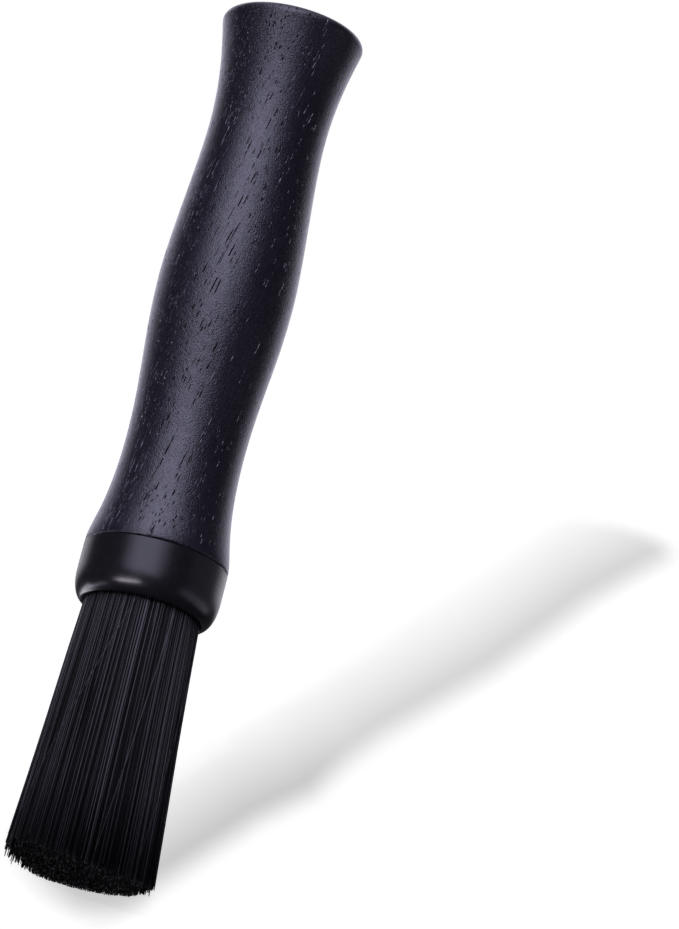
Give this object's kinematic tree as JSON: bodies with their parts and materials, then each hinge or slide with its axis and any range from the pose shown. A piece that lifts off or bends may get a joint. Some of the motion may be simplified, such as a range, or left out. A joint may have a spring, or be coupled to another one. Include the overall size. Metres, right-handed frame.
{
  "type": "barista brush",
  "caption": "Barista brush with a waisted turned wood handle, a plain dark metal ferrule and a flared tuft of dark filaments trimmed flat.",
  "frame": {"origin": "centre of the trimmed end face of the tuft, at the bottom centre of the brush", "axes": "+Z along the brush's axis from the tips to the top of the handle; the brush is round, so +X and +Y are any two directions square to it"},
  "size_m": [0.0326, 0.0326, 0.19],
  "materials": {
    "handle": "black stained open-pored hardwood, satin lacquer",
    "ferrule": "satin black anodised",
    "resin_plug": "cast dark epoxy",
    "bristles": "black nylon filament with a slight sheen"
  },
  "bodies": {
    "root": {"handle": "handle", "ferrule": "ferrule", "resin_plug": "resin_plug", "bristles": "bristles"}
  },
  "joints": []
}
